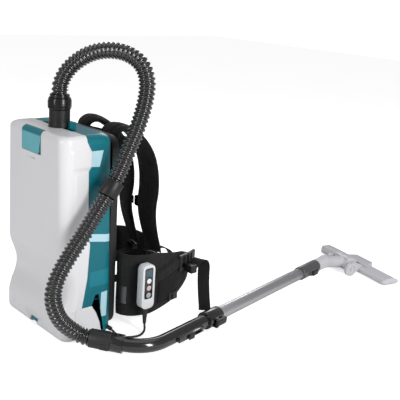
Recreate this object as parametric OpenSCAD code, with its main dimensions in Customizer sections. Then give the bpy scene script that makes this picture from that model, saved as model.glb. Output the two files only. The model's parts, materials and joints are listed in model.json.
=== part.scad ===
// Battery backpack vacuum cleaner with its harness, hose, wand and floor nozzle.
// Origin at the middle of the pack's base, +Z up, cover towards -Y, wearer towards +Y.

/* [Pack] */
// Height of the pack without the hose inlet
pack_h = 530; // [500:1:640]
// Width of the pack at its base
pack_w = 306; // [290:1:368]
// Width of the pack at its top
top_w = 276; // [262:1:290]
// Depth of the two shells together
pack_d = 150; // [144:1:180]
// Thickness of the moulded shells
wall = 3; // [2.5:0.1:4]
// Radius of the upright edges
corner_r = 28; // [22:1:34]
// Radius of the edges round the top and the base
edge_r = 14; // [12:1:18]
// Height of the waist's middle
waist_z = 138; // [120:1:165]
// Depth of the waist in the cover
waist_d = 22; // [12:1:26]
// Gap left between two shells at a seam
seam_gap = 0.5; // [0.4:0.1:1]

/* [Latch and hinge] */
// Width of the cover latch
latch_w = 92; // [76:1:104]
// Radius of the latch's pivot pin
latch_pin_r = 2; // [1.6:0.1:2.4]
// Radius of the cover's hinge pin
hinge_pin_r = 3; // [2.5:0.1:3.6]
// Radial running clearance of the pins
pin_gap = 0.05; // [0.03:0.01:0.09]

/* [Power] */
// Length of one battery
battery_len = 116; // [96:1:124]
// Height of one battery
battery_h = 70; // [60:1:74]
// Depth of one battery
battery_d = 74; // [62:1:76]
// Radius of the motor unit
motor_r = 46; // [38:1:50]
// Height of the motor unit
motor_h = 100; // [84:1:112]

/* [Inlet and hose] */
// Outer diameter of the hose
hose_d = 42; // [35:1:43]
// Radius of the inlet tube
inlet_r = 25; // [22:0.5:28]
// Height of the inlet tube above its flange
inlet_h = 34; // [28:1:41]
// Height of the locking collar
collar_h = 29; // [24:1:35]

/* [Harness] */
// Width of a shoulder strap
strap_w = 84; // [70:1:101]
// Thickness of a shoulder strap
strap_t = 16; // [13:1:19]
// Distance of a strap's middle from the pack's middle plane
strap_x = 68; // [60:1:78]
// Thickness of a belt wing
belt_t = 18; // [15:1:21]
// Depth of the back frame
frame_t = 22; // [18:1:26]
// Width of the back frame
frame_w = 256; // [220:1:262]
// Width of the webbing
web_w = 30; // [25:1:36]
// Thickness of the webbing
web_t = 2.4; // [2:0.1:2.9]

/* [Handset] */
// Height of the handset
handset_h = 122; // [102:1:134]
// Width of the handset
handset_w = 40; // [34:1:48]
// Thickness of the handset
handset_t = 24; // [20:1:28]
// Travel of its buttons
button_travel = 1.2; // [0.8:0.1:1.5]

/* [Wand] */
// Outer diameter of the outer pipe
pipe_d = 36; // [30:0.5:38]
// Wall of the pipes
pipe_wall = 1.5; // [1.2:0.1:2]
// Visible length of the outer pipe
pipe_len = 446; // [372:1:535]
// Length of the lock sleeve
sleeve_len = 96; // [80:1:115]
// Straight length of the grip between its bend and the pipe
grip_straight = 207; // [196:1:248]
// Radius of the grip's bend
grip_bend_r = 105; // [90:1:126]
// Angle of the grip's bend
grip_bend = 60; // [50:1:64]

/* [Nozzle] */
// Width of the floor nozzle
nozzle_w = 336; // [280:1:400]
// Depth of the floor nozzle
nozzle_d = 70; // [62:1:84]
// Height of the floor nozzle's plate
nozzle_h = 24; // [20:1:28]
// Diameter of a nozzle wheel
wheel_d = 42; // [35:1:48]
// Width of a nozzle wheel
wheel_w = 13; // [11:1:15]
// Radius of the neck's drum
drum_r = 24; // [22:1:26]

/* [Hidden] */
$fn = 48;
base_y = pack_d/2;
cover_y = -pack_d/2;
rear_edge_r = edge_r + 8;
waist_reach = 78;
waist_r = (waist_reach*waist_reach + waist_d*waist_d)/(2*waist_d);
half_w = pack_w/2;
inner_w = half_w - wall;
hinge_y = cover_y + edge_r;
hinge_z = edge_r;
tray_t = 4;
bay_top = tray_t + battery_h + 14;
boss_w = 34;
seam_top_y = -6;
tongue_r = inlet_r + 6.5;
latch_x = -10;
latch_r = 7;
latch_y = cover_y + latch_r - 2;
latch_z = pack_h - 53;
shelf_z = bay_top + motor_h + 28;
bag_low_z = shelf_z + 36;
bag_top_z = pack_h - 38;
motor_x = -50;
flange_h = 10;
flange_top = pack_h + flange_h;
tube_top = flange_top + inlet_h;
collar_z = tube_top + 0.4;
collar_r = inlet_r + 3.5;
cuff_r = hose_d/2 + 2.6;
cuff_top = collar_z + 37.6;
frame_y = base_y + frame_t;
pad_t = 24;

// Route of the hose: up from the collar, over the near strap, down in front of the cover
HOSE = [[0, 0, 612], [0, 2, 636], [6, 14, 666], [22, 34, 694], [50, 58, 717], [86, 84, 728],
    [126, 110, 724], [160, 129, 702], [180, 134, 664], [187, 126, 616], [190, 106, 560],
    [191, 80, 505], [191, 54, 452], [191, 28, 408], [192, -6, 362], [193, -42, 314],
    [194, -80, 268], [196, -112, 226], [198, -130, 190], [199, -134, 158], [200, -126, 124],
    [203, -108, 92], [211, -78, 63], [221, -63, 53], [233, -53, 51]];
// Route of the handset's cable: out of the leg, along the floor and up to the handset
CABLE = [[166, 60, 16], [176, 60, 14], [190, 63, 8], [203, 72, 4], [214, 87, 4], [220, 105, 4],
    [220, 119, 5], [215, 132, 8], [208, 140, 13], [203, 143, 19], [202, 143, 26]];

// Frame of the wand: its origin is the middle of the pipe's lower end, local +Y along the pipe
WAND = [299.25, 305.55, 40];
wand_yaw = 10;
grip_roll = 5;
// Frame of the nozzle on the floor
NOZZLE = [228, 1048, 0];
nozzle_yaw = -13;
drum_y = -60;
drum_z = drum_r + 4;

// ---------- helpers ----------

function unit(v) = v/norm(v);

// Point at t on the smooth curve between b and c
function curve_point(a, b, c, d, t) =
    0.5*(2*b + (c - a)*t + (2*a - 5*b + 4*c - d)*t*t + (3*b - a - 3*c + d)*t*t*t);

// Smooth curve through the points, with n steps between each pair
function smooth(p, n) = let (last = len(p) - 1) concat(
    [for (i = [0 : last - 1]) for (k = [0 : n - 1])
        curve_point(i == 0 ? 2*p[0] - p[1] : p[i - 1], p[i], p[i + 1],
            i == last - 1 ? 2*p[last] - p[last - 1] : p[i + 2], k/n)],
    [p[last]]);

function tangent(p, i) = unit(p[min(i + 1, len(p) - 1)] - p[max(i - 1, 0)]);

// Outline of a band of thickness t that follows a flat curve
function ribbon(p, t) = let (side = [for (i = [0 : len(p) - 1])
        let (u = tangent(p, i)) [-u[1], u[0]]*t/2]) concat(
    [for (i = [0 : len(p) - 1]) p[i] + side[i]],
    [for (i = [len(p) - 1 : -1 : 0]) p[i] - side[i]]);

// Outline of a rectangle with rounded corners, centred
function rounded(w, h, r, n = 6) = [for (q = [0 : 3]) for (k = [0 : n])
    let (a = 90*q + 90*k/n, sx = q == 0 || q == 3 ? 1 : -1, sy = q < 2 ? 1 : -1)
    [sx*(w/2 - r) + r*cos(a), sy*(h/2 - r) + r*sin(a)]];

// Side vectors of each ring of a swept tube, carried along without twist
function carry(p, i, v) = let (t = tangent(p, i), w = unit(v - t*(v*t)))
    i == len(p) - 1 ? [w] : concat([w], carry(p, i + 1, w));

module tube(p, d, sides) {
    start = abs(tangent(p, 0)[2]) > 0.9 ? [1, 0, 0] : [0, 0, 1];
    frames = carry(p, 0, start);
    rings = [for (i = [0 : len(p) - 1]) for (k = [0 : sides - 1])
        let (a = 360*k/sides, v = frames[i], w = cross(tangent(p, i), v))
        p[i] + d/2*(cos(a)*v + sin(a)*w)];
    walls = [for (i = [0 : len(p) - 2]) for (k = [0 : sides - 1])
        let (n = (k + 1)%sides, b = i*sides)
        [b + k, b + sides + k, b + sides + n, b + n]];
    caps = [[for (k = [0 : sides - 1]) k], [for (k = [sides - 1 : -1 : 0])
        (len(p) - 1)*sides + k]];
    polyhedron(rings, concat(walls, caps));
}

// Box from its lowest to its highest corner
module block(a, b) {
    translate(a) cube(b - a);
}

// Cylinder along X, from x0 to x1
module bar(x0, x1, y, z, r) {
    translate([x0, y, z]) rotate([0, 90, 0]) cylinder(h = x1 - x0, r = r);
}

// Cylinder from point a to point b
module rod(a, b, r) {
    d = b - a;
    turn = atan2(d[1], d[0]);
    tilt = acos(d[2]/norm(d));
    translate(a) rotate([0, tilt, turn]) cylinder(h = norm(d), r = r);
}

// Prism of a (y, z) outline between x0 and x1
module side_prism(outline, x0, x1) {
    translate([x0, 0, 0]) rotate([90, 0, 90]) linear_extrude(height = x1 - x0) polygon(outline);
}

// Prism of an (x, z) outline between y0 and y1
module front_prism(outline, y0, y1) {
    translate([0, y1, 0]) rotate([90, 0, 0]) linear_extrude(height = y1 - y0) polygon(outline);
}

module at_wand() {
    translate(WAND) rotate([0, 0, wand_yaw]) children();
}

module at_nozzle() {
    translate(NOZZLE) rotate([0, 0, nozzle_yaw]) children();
}

// ---------- pack ----------

module corner_ring(r, edge) {
    rotate_extrude($fn = 24) intersection() {
        translate([r - edge, 0]) circle(edge, $fn = 16);
        translate([0, -edge]) square([r, 2*edge]);
    }
}

// Outside of the pack, drawn in by d
module pack_body(d) {
    difference() {
        hull() for (side = [-1, 1]) {
            translate([side*(half_w - corner_r), cover_y + corner_r, edge_r])
                corner_ring(corner_r - d, edge_r - d);
            translate([side*(top_w/2 - corner_r), cover_y + corner_r, pack_h - edge_r])
                corner_ring(corner_r - d, edge_r - d);
            translate([side*(half_w - corner_r), base_y - corner_r, edge_r])
                corner_ring(corner_r - d, edge_r - d);
            translate([side*(top_w/2 - corner_r), base_y - corner_r, pack_h - rear_edge_r])
                corner_ring(corner_r - d, rear_edge_r - d);
        }
        bar(-pack_w, pack_w, cover_y + waist_d - waist_r, waist_z, waist_r + d);
    }
}

// Side outline of the seam between the cover and the housing, moved by dy
function seam(dy) = [[-46 + dy, -5], [-46 + dy, 0], [-41 + dy, 8], [-40 + dy, hinge_z],
    [-40 + dy, bay_top], [-21 + dy, bay_top + dy], [-5 + dy, pack_h*0.31],
    [3 + dy, pack_h*0.47], [3 + dy, pack_h*0.485], [-3 + dy, pack_h*0.51],
    [-3 + dy, pack_h*0.83], [6 + dy, pack_h*0.86], [6 + dy, pack_h*0.93],
    [seam_top_y + dy, pack_h - edge_r], [seam_top_y + dy, pack_h + 20]];

module cover_region() {
    side_prism(concat([[cover_y - 50, pack_h + 20], [cover_y - 50, -5]], seam(0)),
        -pack_w, pack_w);
}

module front_cover() {
    color("whitesmoke") difference() {
        union() {
            difference() {
                intersection() {
                    pack_body(0);
                    cover_region();
                }
                pack_body(wall);
            }
            // backing and cheeks of the latch pocket
            intersection() {
                pack_body(0.5);
                block([latch_x - latch_w/2 - 6, cover_y + 1, latch_z - 12],
                    [latch_x + latch_w/2 + 6, cover_y + 19, pack_h - 1]);
            }
            // hinge knuckles, either side of the boss
            for (side = [-1, 1])
                bar(side > 0 ? boss_w/2 + 0.6 : -42, side > 0 ? 42 : -boss_w/2 - 0.6,
                    hinge_y, hinge_z, edge_r - 2);
        }
        // pocket of the latch
        block([latch_x - latch_w/2 - 0.5, cover_y - 20, latch_z - latch_r - 0.5],
            [latch_x + latch_w/2 + 0.5, latch_y + latch_r + 0.6, pack_h + 20]);
        bar(latch_x - latch_w/2 - 4, latch_x + latch_w/2 + 4, latch_y, latch_z,
            latch_pin_r + pin_gap);
        // room for the inlet, the pin, the boss between the two lobes and the tray
        translate([0, 0, pack_h - 60]) cylinder(h = 100, r = tongue_r + seam_gap);
        bar(-50, 50, hinge_y, hinge_z, hinge_pin_r + pin_gap);
        block([-boss_w/2 - 0.6, cover_y - 5, -5], [boss_w/2 + 0.6, hinge_y + 20, hinge_z + 12]);
        block([-half_w + edge_r, hinge_y, -5], [half_w - edge_r, 0, wall + 1.5]);
    }
}

module cover_latch() {
    color("teal") difference() {
        intersection() {
            union() {
                bar(latch_x - latch_w/2, latch_x + latch_w/2, latch_y, latch_z, latch_r);
                block([latch_x - latch_w/2, cover_y - 2, latch_z],
                    [latch_x + latch_w/2, cover_y + 6, pack_h + 2]);
                block([latch_x - latch_w/2, cover_y - 2, pack_h - 8],
                    [latch_x + latch_w/2, latch_y + latch_r, pack_h + 2]);
            }
            front_prism([[latch_x - latch_w/2, latch_z - 12], [latch_x + latch_w*0.36, latch_z - 12],
                [latch_x + latch_w*0.38, latch_z + 16], [latch_x + latch_w/2, pack_h - 6],
                [latch_x + latch_w/2, pack_h + 10], [latch_x - latch_w/2, pack_h + 10]],
                cover_y - 20, 0);
        }
        bar(-pack_w, pack_w, latch_y, latch_z, latch_pin_r + pin_gap);
    }
}

module latch_pin() {
    color("silver") bar(latch_x - latch_w/2 - 3.5, latch_x + latch_w/2 + 3.5, latch_y, latch_z,
        latch_pin_r);
}

module hinge_pin() {
    color("silver") bar(-42, 42, hinge_y, hinge_z, hinge_pin_r);
}

// Soft lip round the inside of the cover's rim
module cover_gasket() {
    color("dimgray") difference() {
        intersection() {
            pack_body(wall);
            block([-pack_w, -32, shelf_z + 16], [pack_w, -26, pack_h]);
        }
        pack_body(wall + 3);
    }
}

module main_housing() {
    color("teal") difference() {
        union() {
            difference() {
                intersection() {
                    pack_body(0);
                    union() {
                        difference() {
                            block([-pack_w, cover_y, 0], [pack_w, base_y + 1, pack_h + 1]);
                            translate([0, seam_gap, 0]) cover_region();
                            translate([0, 0, seam_gap]) cover_region();
                        }
                        translate([0, 0, pack_h - edge_r]) cylinder(h = edge_r + 5, r = tongue_r);
                    }
                }
                pack_body(wall);
                // open bay for the batteries, between the base and the legs
                side_prism([[-60, tray_t], [-60, bay_top], [9, bay_top], [20, bay_top + 28],
                    [30, bay_top + 28], [47, tray_t]], -pack_w, pack_w);
            }
            intersection() {
                pack_body(wall - 0.6);
                union() {
                    // ceiling of the bay, shelf of the filter, tray of the batteries
                    block([-pack_w, -19, bay_top], [pack_w, base_y, bay_top + wall]);
                    block([5 - top_w/2, -48, shelf_z], [top_w/2 - 5, base_y, shelf_z + wall]);
                    block([-inner_w, seam_top_y + 12, shelf_z], [inner_w, base_y, shelf_z + wall]);
                }
            }
            intersection() {
                pack_body(0);
                block([-pack_w, -37, 0], [pack_w, base_y, tray_t]);
            }
            block([-half_w + edge_r + 5, hinge_y + 11, 0], [half_w - edge_r - 5, -30, tray_t]);
            // boss of the cover's hinge
            bar(-boss_w/2, boss_w/2, hinge_y, hinge_z, 9);
            block([-boss_w/2, hinge_y, 1], [boss_w/2, hinge_y + 16, hinge_z]);
            // raised block behind the inlet
            block([inlet_r + 5.5, 8, pack_h - 2], [inlet_r + 18, 26, pack_h + 18]);
        }
        bar(-50, 50, hinge_y, hinge_z, hinge_pin_r + pin_gap);
        // duct of the inlet, mouth of the filter
        translate([0, 0, pack_h - 30]) cylinder(h = 60, r = inlet_r - 5);
        block([-85, -36, shelf_z - 5], [85, 54, shelf_z + 10]);
        // exhaust slots in the left side
        for (i = [0 : 7]) block([-pack_w, 24, bay_top + 28 + 9*i], [-80, 60, bay_top + 32 + 9*i]);
    }
}

// White cover over the end of one battery
module side_cover(side) {
    color("whitesmoke") difference() {
        intersection() {
            pack_body(0);
            side_prism([[-39.5, tray_t], [-39.5, bay_top - 0.5], [9, bay_top - 0.5],
                [22, bay_top*0.76], [33, bay_top*0.45], [39, bay_top*0.12], [39, tray_t]],
                side > 0 ? half_w - 20 : -pack_w, side > 0 ? pack_w : -half_w + 20);
        }
        pack_body(wall);
        translate([0, 0, -edge_r]) block([-half_w + 8, -60, 0], [half_w - 8, 60, edge_r + tray_t]);
    }
}

module side_cover_left() {
    side_cover(-1);
}

module side_cover_right() {
    side_cover(1);
}

module housing_screws() {
    color("silver") for (x = [41 - half_w, half_w - 41]) for (y = [10, 50])
        translate([x, y, bay_top + wall]) {
        cylinder(h = 3, r = 3.6);
        translate([0, 0, -8]) cylinder(h = 8, r = 1.6);
    }
}

module inlet_flange() {
    color("#202020") difference() {
        union() {
            translate([0, 0, pack_h]) cylinder(h = flange_h, r = inlet_r + 5);
            translate([0, 0, flange_top]) cylinder(h = inlet_h, r = inlet_r);
            translate([0, 0, pack_h - 31]) cylinder(h = 31, r = inlet_r - 5.3);
        }
        translate([0, 0, pack_h - 40]) cylinder(h = 120, r = inlet_r - 7.5);
    }
}

module inlet_collar() {
    color("#181818") difference() {
        union() {
            translate([0, 0, collar_z]) cylinder(h = collar_h, r = collar_r);
            for (i = [0 : 5]) rotate([0, 0, 60*i + 15])
                translate([collar_r - 2, -4, collar_z + 3]) cube([3.4, 8, collar_h - 6]);
        }
        translate([0, 0, collar_z - 1]) cylinder(h = collar_h + 2, r = cuff_r + 0.3);
    }
}

module inlet_cuff() {
    color("#101010") difference() {
        union() {
            translate([0, 0, tube_top]) cylinder(h = cuff_top - tube_top, r = cuff_r - 0.3);
            translate([0, 0, collar_z + collar_h + 0.4])
                cylinder(h = cuff_top - collar_z - collar_h - 0.4, r = cuff_r + 1.6);
        }
        translate([0, 0, tube_top - 1]) cylinder(h = cuff_top - tube_top - 2, r = cuff_r - 5);
    }
}

module bag_holder() {
    color("khaki") difference() {
        block([-62, -48, bag_top_z + 1], [62, base_y - wall, bag_top_z + 5]);
        translate([0, 0, bag_top_z - 5]) cylinder(h = 20, r = inlet_r - 4.9);
    }
}

module dust_bag() {
    color("wheat") hull() for (x = [-76, 76]) for (y = [-24, 34])
        for (z = [bag_low_z + 28, bag_top_z - 28]) translate([x, y, z]) sphere(28, $fn = 24);
}

module filter_frame() {
    color("gray") difference() {
        block([-100, -46, shelf_z + wall], [100, 62, shelf_z + wall + 10]);
        block([-88, -35, shelf_z], [88, 51, shelf_z + 30]);
    }
}

// Pleated filter: a frame's fill, folded in a zigzag
module hepa_filter() {
    pleats = 16;
    color("ivory") side_prism(concat(
        [for (i = [0 : pleats]) [-34.5 + 85*i/pleats, shelf_z + wall + (i%2 == 0 ? 3 : 22)]],
        [for (i = [pleats : -1 : 0]) [-34.5 + 85*i/pleats, shelf_z + wall + (i%2 == 0 ? 1 : 18)]]),
        -87, 87);
}

module motor_unit() {
    color("#303038") difference() {
        union() {
            translate([motor_x, 8, bay_top + wall]) cylinder(h = motor_h, r = motor_r);
            translate([motor_x, 8, bay_top + wall + motor_h]) cylinder(h = 8, r = motor_r - 14);
            translate([motor_x, 8, bay_top + wall + 20]) cylinder(h = 18, r = motor_r + 3);
        }
        translate([motor_x, 8, bay_top + wall + motor_h - 10]) cylinder(h = 30, r = 20);
    }
}

module motor_ring() {
    color("#222222") translate([motor_x, 8, bay_top + wall + motor_h - 26]) difference() {
        cylinder(h = 14, r = motor_r + 6);
        translate([0, 0, -1]) cylinder(h = 16, r = motor_r);
    }
}

module controller_board() {
    color("green") {
        block([26, base_y - wall - 8, bay_top + 20], [124, base_y - wall - 6.4, bay_top + 104]);
        for (x = [32, 114]) for (z = [26, 94])
            block([x, base_y - wall - 6.4, bay_top + z], [x + 4, base_y - wall, bay_top + z + 4]);
        for (i = [0 : 2]) translate([46 + 20*i, base_y - wall - 8, bay_top + 50])
            rotate([90, 0, 0]) cylinder(h = 22, r = 7);
        block([42, base_y - wall - 20, bay_top + 72], [106, base_y - wall - 8, bay_top + 92]);
    }
}

module battery(side) {
    x0 = half_w - wall - 12 - battery_len;
    color("#1a1a1a") translate([side > 0 ? 0 : -2*x0 - battery_len, 0, 0]) difference() {
        union() {
            block([x0, -battery_d/2, tray_t + 0.5],
                [x0 + battery_len, battery_d/2, tray_t + battery_h - 14]);
            block([x0 + 6, -battery_d/2 + 8, tray_t + battery_h - 14],
                [x0 + battery_len - 6, battery_d/2 - 8, tray_t + battery_h]);
        }
        // well of the release button
        translate([x0 + battery_len/2, battery_d/2 - 5, tray_t + 34]) rotate([-90, 0, 0])
            linear_extrude(height = 8) square([36, 16], center = true);
    }
}

module battery_left() {
    battery(-1);
}

module battery_right() {
    battery(1);
}

module battery_button(side) {
    x = side*(half_w - wall - 12 - battery_len/2);
    color("teal") translate([x, battery_d/2 - 1.6, tray_t + 34]) rotate([-90, 0, 0])
        linear_extrude(height = 4) polygon(rounded(34.6, 14.6, 4));
}

module battery_button_left() {
    battery_button(-1);
}

module battery_button_right() {
    battery_button(1);
}

module battery_terminals() {
    color("orange") for (side = [-1, 1])
        translate([side*(half_w - wall - 12 - battery_len/2), 0, tray_t + battery_h]) {
            block([-24, -14, 1], [24, 14, bay_top - tray_t - battery_h]);
            for (x = [-16, 0, 16]) block([x - 1.5, -10, 0.2], [x + 1.5, 10, 2]);
        }
}

// ---------- harness ----------

module frame_outline(inset) {
    polygon([for (q = rounded(frame_w - 2*inset, pack_h - 14 - 2*inset, 34 - inset))
        q + [0, pack_h/2 - 3]]);
}

module back_frame() {
    color("#161616") difference() {
        translate([0, frame_y, 0]) rotate([90, 0, 0]) linear_extrude(height = frame_t)
            frame_outline(0);
        translate([0, frame_y - 6, 0]) rotate([90, 0, 0]) linear_extrude(height = frame_t)
            frame_outline(6);
    }
}

module back_pad() {
    color("#1c1c1c") translate([0, frame_y + pad_t, 0]) rotate([90, 0, 0])
        linear_extrude(height = pad_t)
        polygon([for (q = rounded(206, pack_h*0.45, 30)) q + [0, pack_h*0.63]]);
}

STRAP = [[107, 462], [106, 498], [112, 522], [134, 532], [164, 522], [198, 494], [226, 452],
    [241, 400], [244, 350], [240, 308], [243, 268], [253, 226], [264, 192], [272, 166]];

// The left strap hangs turned inwards about its inner edge, by more where the gap is wide
strap_swing = 12*(2*strap_x - strap_w)/52;

module swung(side) {
    edge = [side*(strap_x - strap_w/2), frame_y + 10, 0];
    translate(edge) rotate([0, 0, side < 0 ? -strap_swing : 0]) translate(-edge) children();
}

module shoulder_strap(side) {
    route = [for (q = STRAP) [q[0] + frame_y - 97, q[1] + pack_h - 530]];
    color("#121212") swung(side) side_prism(ribbon(smooth(route, 4), strap_t),
        side*strap_x - strap_w/2, side*strap_x + strap_w/2);
}

module shoulder_strap_left() {
    shoulder_strap(-1);
}

module shoulder_strap_right() {
    shoulder_strap(1);
}

// Webbing that pulls each shoulder strap down to the frame
module strap_webbing() {
    route = [[frame_y + 3, 96], [frame_y + 60, 110], [frame_y + 120, 126], [frame_y + 163, 138]];
    color("#0c0c0c") for (side = [-1, 1]) swung(side)
        side_prism(ribbon(smooth(route, 4), web_t), side*strap_x - web_w/2,
            side*strap_x + web_w/2);
}

module strap_buckles() {
    color("#0a0a0a") for (side = [-1, 1]) swung(side)
        translate([side*strap_x, frame_y + 170, pack_h - 380]) difference() {
            block([-web_w/2 - 5, -8, -8], [web_w/2 + 5, 8, 8]);
            block([-web_w/2 - 1, -3, -20], [web_w/2 + 1, 3, 20]);
        }
}

module sternum_strap() {
    y = frame_y + 154;
    z = pack_h - 232;
    color("#0c0c0c") {
        swung(-1) block([-strap_x - 12, y - 2, z - 11], [-strap_x + 32, y - 2 + web_t, z + 11]);
        block([32.5, y, z - 11], [strap_x + 8, y + web_t, z + 11]);
    }
}

module sternum_buckle() {
    color("#0a0a0a") translate([14, frame_y + 157.5, pack_h - 232]) rotate([90, 0, 0])
        translate([0, 0, -4]) linear_extrude(height = 8) polygon(rounded(36, 30, 6));
}

BELT_RIGHT = [[120, 108], [142, 115], [162, 133], [174, 166], [178, 210], [174, 256], [162, 300],
    [150, 330]];
BELT_LEFT = [[-120, 108], [-142, 118], [-154, 150], [-156, 196], [-142, 250], [-106, 291],
    [-58, 311], [-8, 313]];

module belt_wing(route) {
    color("#141414") intersection() {
        linear_extrude(height = 230)
            polygon(ribbon(smooth([for (q = route) [q[0], q[1] + frame_y - 97]], 4), belt_t));
        side_prism([[60, 30], [60, 206], [200, 204], [296, 186], [360, 160], [360, 122],
            [300, 78], [250, 52], [180, 34]], -pack_w, pack_w);
    }
}

module belt_wing_left() {
    belt_wing(BELT_LEFT);
}

module belt_wing_right() {
    belt_wing(BELT_RIGHT);
}

// Loose tail of the belt: up over the buckle and down to the floor
TAIL = [[306, 150], [314, 160], [326, 167], [340, 163], [348, 146], [349, 120], [351, 90],
    [356, 50], [361, 20], [363, 4]];

module belt_webbing() {
    color("#0c0c0c") {
        side_prism(ribbon(smooth([for (q = TAIL) [q[0] + frame_y - 97, q[1]]], 4), web_t),
            183, 183 + web_w);
        side_prism(ribbon(smooth([for (q = [[311, 150], [336, 148], [366, 132], [384, 100],
            [386, 60], [384, 16]]) [q[0] + frame_y - 97, q[1]]], 4), web_t), 7, 7 + web_w);
    }
}

module belt_buckles() {
    color("#0a0a0a") for (q = [[198, 296, 150], [22, 300, 150]])
        translate([q[0], q[1] + frame_y - 97, q[2]]) difference() {
            block([-web_w/2 - 6, -12, -11], [web_w/2 + 6, 9, 11]);
            block([-web_w/2 - 1, 3, -20], [web_w/2 + 1, 6, 20]);
        }
}

module hose_holder() {
    a = HOSE[13] + unit(HOSE[12] - HOSE[14])*20;
    b = HOSE[13] - unit(HOSE[12] - HOSE[14])*20;
    color("#1a1a1a") difference() {
        union() {
            rod(b, a, hose_d/2 + 4);
            rod([frame_w/2 - 6, frame_y - 12, 380], HOSE[13] + [-8, 8, -4], 7);
        }
        rod(b - 3*(a - b), a + 3*(a - b), hose_d/2 + 0.6);
    }
}

// ---------- handset ----------

handset_x = 190;
handset_y = 143;
handset_z = 70;
panel_z = handset_z + handset_h*0.58;

module handset_outline(inset) {
    polygon([for (q = rounded(handset_w - 2*inset, handset_h - 2*inset, 14 - inset*0.6))
        q + [handset_y, handset_z + handset_h/2]]);
}

// Along the handset's face, upwards from its lower end
function button_height(i) = handset_z + handset_h*(0.32 + 0.161*i);

module handset_body() {
    color("lightgray") difference() {
        translate([handset_x, 0, 0]) rotate([90, 0, 90]) linear_extrude(height = handset_t)
            handset_outline(0);
        translate([handset_x + handset_t - 3, 0, 0]) rotate([90, 0, 90])
            linear_extrude(height = 5) polygon([for (q = rounded(26, handset_h*0.7, 5))
            q + [handset_y, panel_z]]);
    }
}

module handset_panel() {
    face = handset_x + handset_t;
    color("#15181c") difference() {
        translate([face - 3, 0, 0]) rotate([90, 0, 90])
            linear_extrude(height = 2.6) polygon([for (q = rounded(25.6, handset_h*0.7 - 0.4, 4.8))
            q + [handset_y, panel_z]]);
        for (i = [0 : 2]) bar(face - 1.8, face + 5, handset_y, button_height(i), 7.4);
    }
}

module button(i) {
    face = handset_x + handset_t;
    bar(face - 1.8 + button_travel + 0.2, face + button_travel, handset_y, button_height(i), 7);
}

module button_eco() {
    color("dimgray") button(0);
}

module button_mode() {
    color("mistyrose") button(1);
}

module button_power() {
    color("white") button(2);
}

module handset_clip() {
    color("#1a1a1a") block([183, handset_y - 11, handset_z + 50], [handset_x, handset_y + 11,
        handset_z + 120]);
}

module handset_grommet() {
    color("gray") translate([202, handset_y, 24]) {
        cylinder(h = handset_z - 24, r1 = 4.3, r2 = 8);
    }
}

module handset_cable() {
    color("#202020") tube(smooth(CABLE, 3), 6, 8);
}

module cable_gland() {
    color("#202020") difference() {
        bar(half_w - 7, half_w + 13, 60, 16, 5.5);
        bar(half_w - 8, half_w + 1, 60, 16, 1);
    }
}

// ---------- hose and wand ----------

module hose() {
    color("#202020") tube(smooth(HOSE, 2), hose_d, 12);
}

// Children drawn in the frame of the grip's hose end, local +Y towards the bend
module at_grip_end() {
    reach = grip_straight + grip_bend_r*sin(grip_bend);
    rise = grip_bend_r*(1 - cos(grip_bend));
    at_wand() rotate([0, grip_roll, 0]) translate([-rise, -reach, 0]) rotate([0, 0, -grip_bend])
        children();
}

cuff_len = 84;
cuff_d = pipe_d + 11;

module hose_swivel() {
    color("#161616") at_grip_end() rotate([90, 0, 0]) difference() {
        union() {
            translate([0, 0, 30]) cylinder(h = cuff_len - 30, r = cuff_d/2);
            for (i = [0 : 11]) rotate([0, 0, 30*i])
                translate([cuff_d/2 - 1, -1.5, 36]) cube([2, 3, 20]);
        }
        translate([0, 0, 20]) cylinder(h = 42, r = pipe_d/2 + 0.4);
    }
}

// Middle line of the grip: straight from the clamp, round the bend, straight into the cuff
GRIP_LINE = concat([[0, -34, 0]],
    [for (i = [0 : 12]) let (a = grip_bend*i/12) [-grip_bend_r*(1 - cos(a)),
        -grip_straight - grip_bend_r*sin(a), 0]],
    [let (a = grip_bend) [-grip_bend_r*(1 - cos(a)) - 60*sin(a),
        -grip_straight - grip_bend_r*sin(a) - 60*cos(a), 0]]);

// Bent tube that the user holds, with its cuff seat and the pipe clamp
module grip() {
    color("#141414") difference() {
        union() {
            at_wand() rotate([0, grip_roll, 0]) {
                tube(GRIP_LINE, pipe_d, 32);
                translate([0, 14, 0]) rotate([90, 0, 0]) cylinder(h = 58, r = pipe_d/2 + 6);
                translate([pipe_d/2 - 3, -176, -7]) cube([11, 98, 14]);
                // ears and pin of the clamp's lever
                for (z = [-13, 9.3])
                    translate([pipe_d/2 - 2, lever_y - 6, z]) cube([17, 11, 3.7]);
                translate([pipe_d/2 + 11, lever_y, -11]) cylinder(h = 22, r = 1.5);
            }
            at_grip_end() rotate([90, 0, 0]) cylinder(h = 29, r = cuff_d/2);
        }
        at_wand() rotate([90, 0, 0]) translate([0, 0, -20]) cylinder(h = 52, r = pipe_d/2 + 0.1);
        // slot of the suction slider
        at_wand() rotate([0, grip_roll, 0]) translate([pipe_d/2 + 3, -146, -4.4]) cube([9, 58, 8.8]);
    }
}

module suction_slider() {
    color("#2a2a2a") at_wand() rotate([0, grip_roll, 0]) {
        translate([pipe_d/2 + 3.4, -144, -4]) cube([8, 26, 8]);
        translate([pipe_d/2 + 9, -142, -8]) cube([5, 20, 16]);
    }
}

lever_y = -24;

module clamp_lever() {
    color("#1e1e1e") at_wand() rotate([0, grip_roll, 0]) difference() {
        union() {
            translate([pipe_d/2 + 11, lever_y, -9]) cylinder(h = 18, r = 4.6);
            translate([pipe_d/2 + 9, lever_y, -9]) cube([7, 36, 18]);
        }
        translate([pipe_d/2 + 11, lever_y, -12]) cylinder(h = 24, r = 1.55);
    }
}

module outer_pipe() {
    color("silver") at_wand() translate([0, pipe_len + 40, 0]) rotate([90, 0, 0]) difference() {
        cylinder(h = pipe_len + 70, r = pipe_d/2);
        translate([0, 0, -1]) cylinder(h = pipe_len + 75, r = pipe_d/2 - pipe_wall);
    }
}

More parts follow.
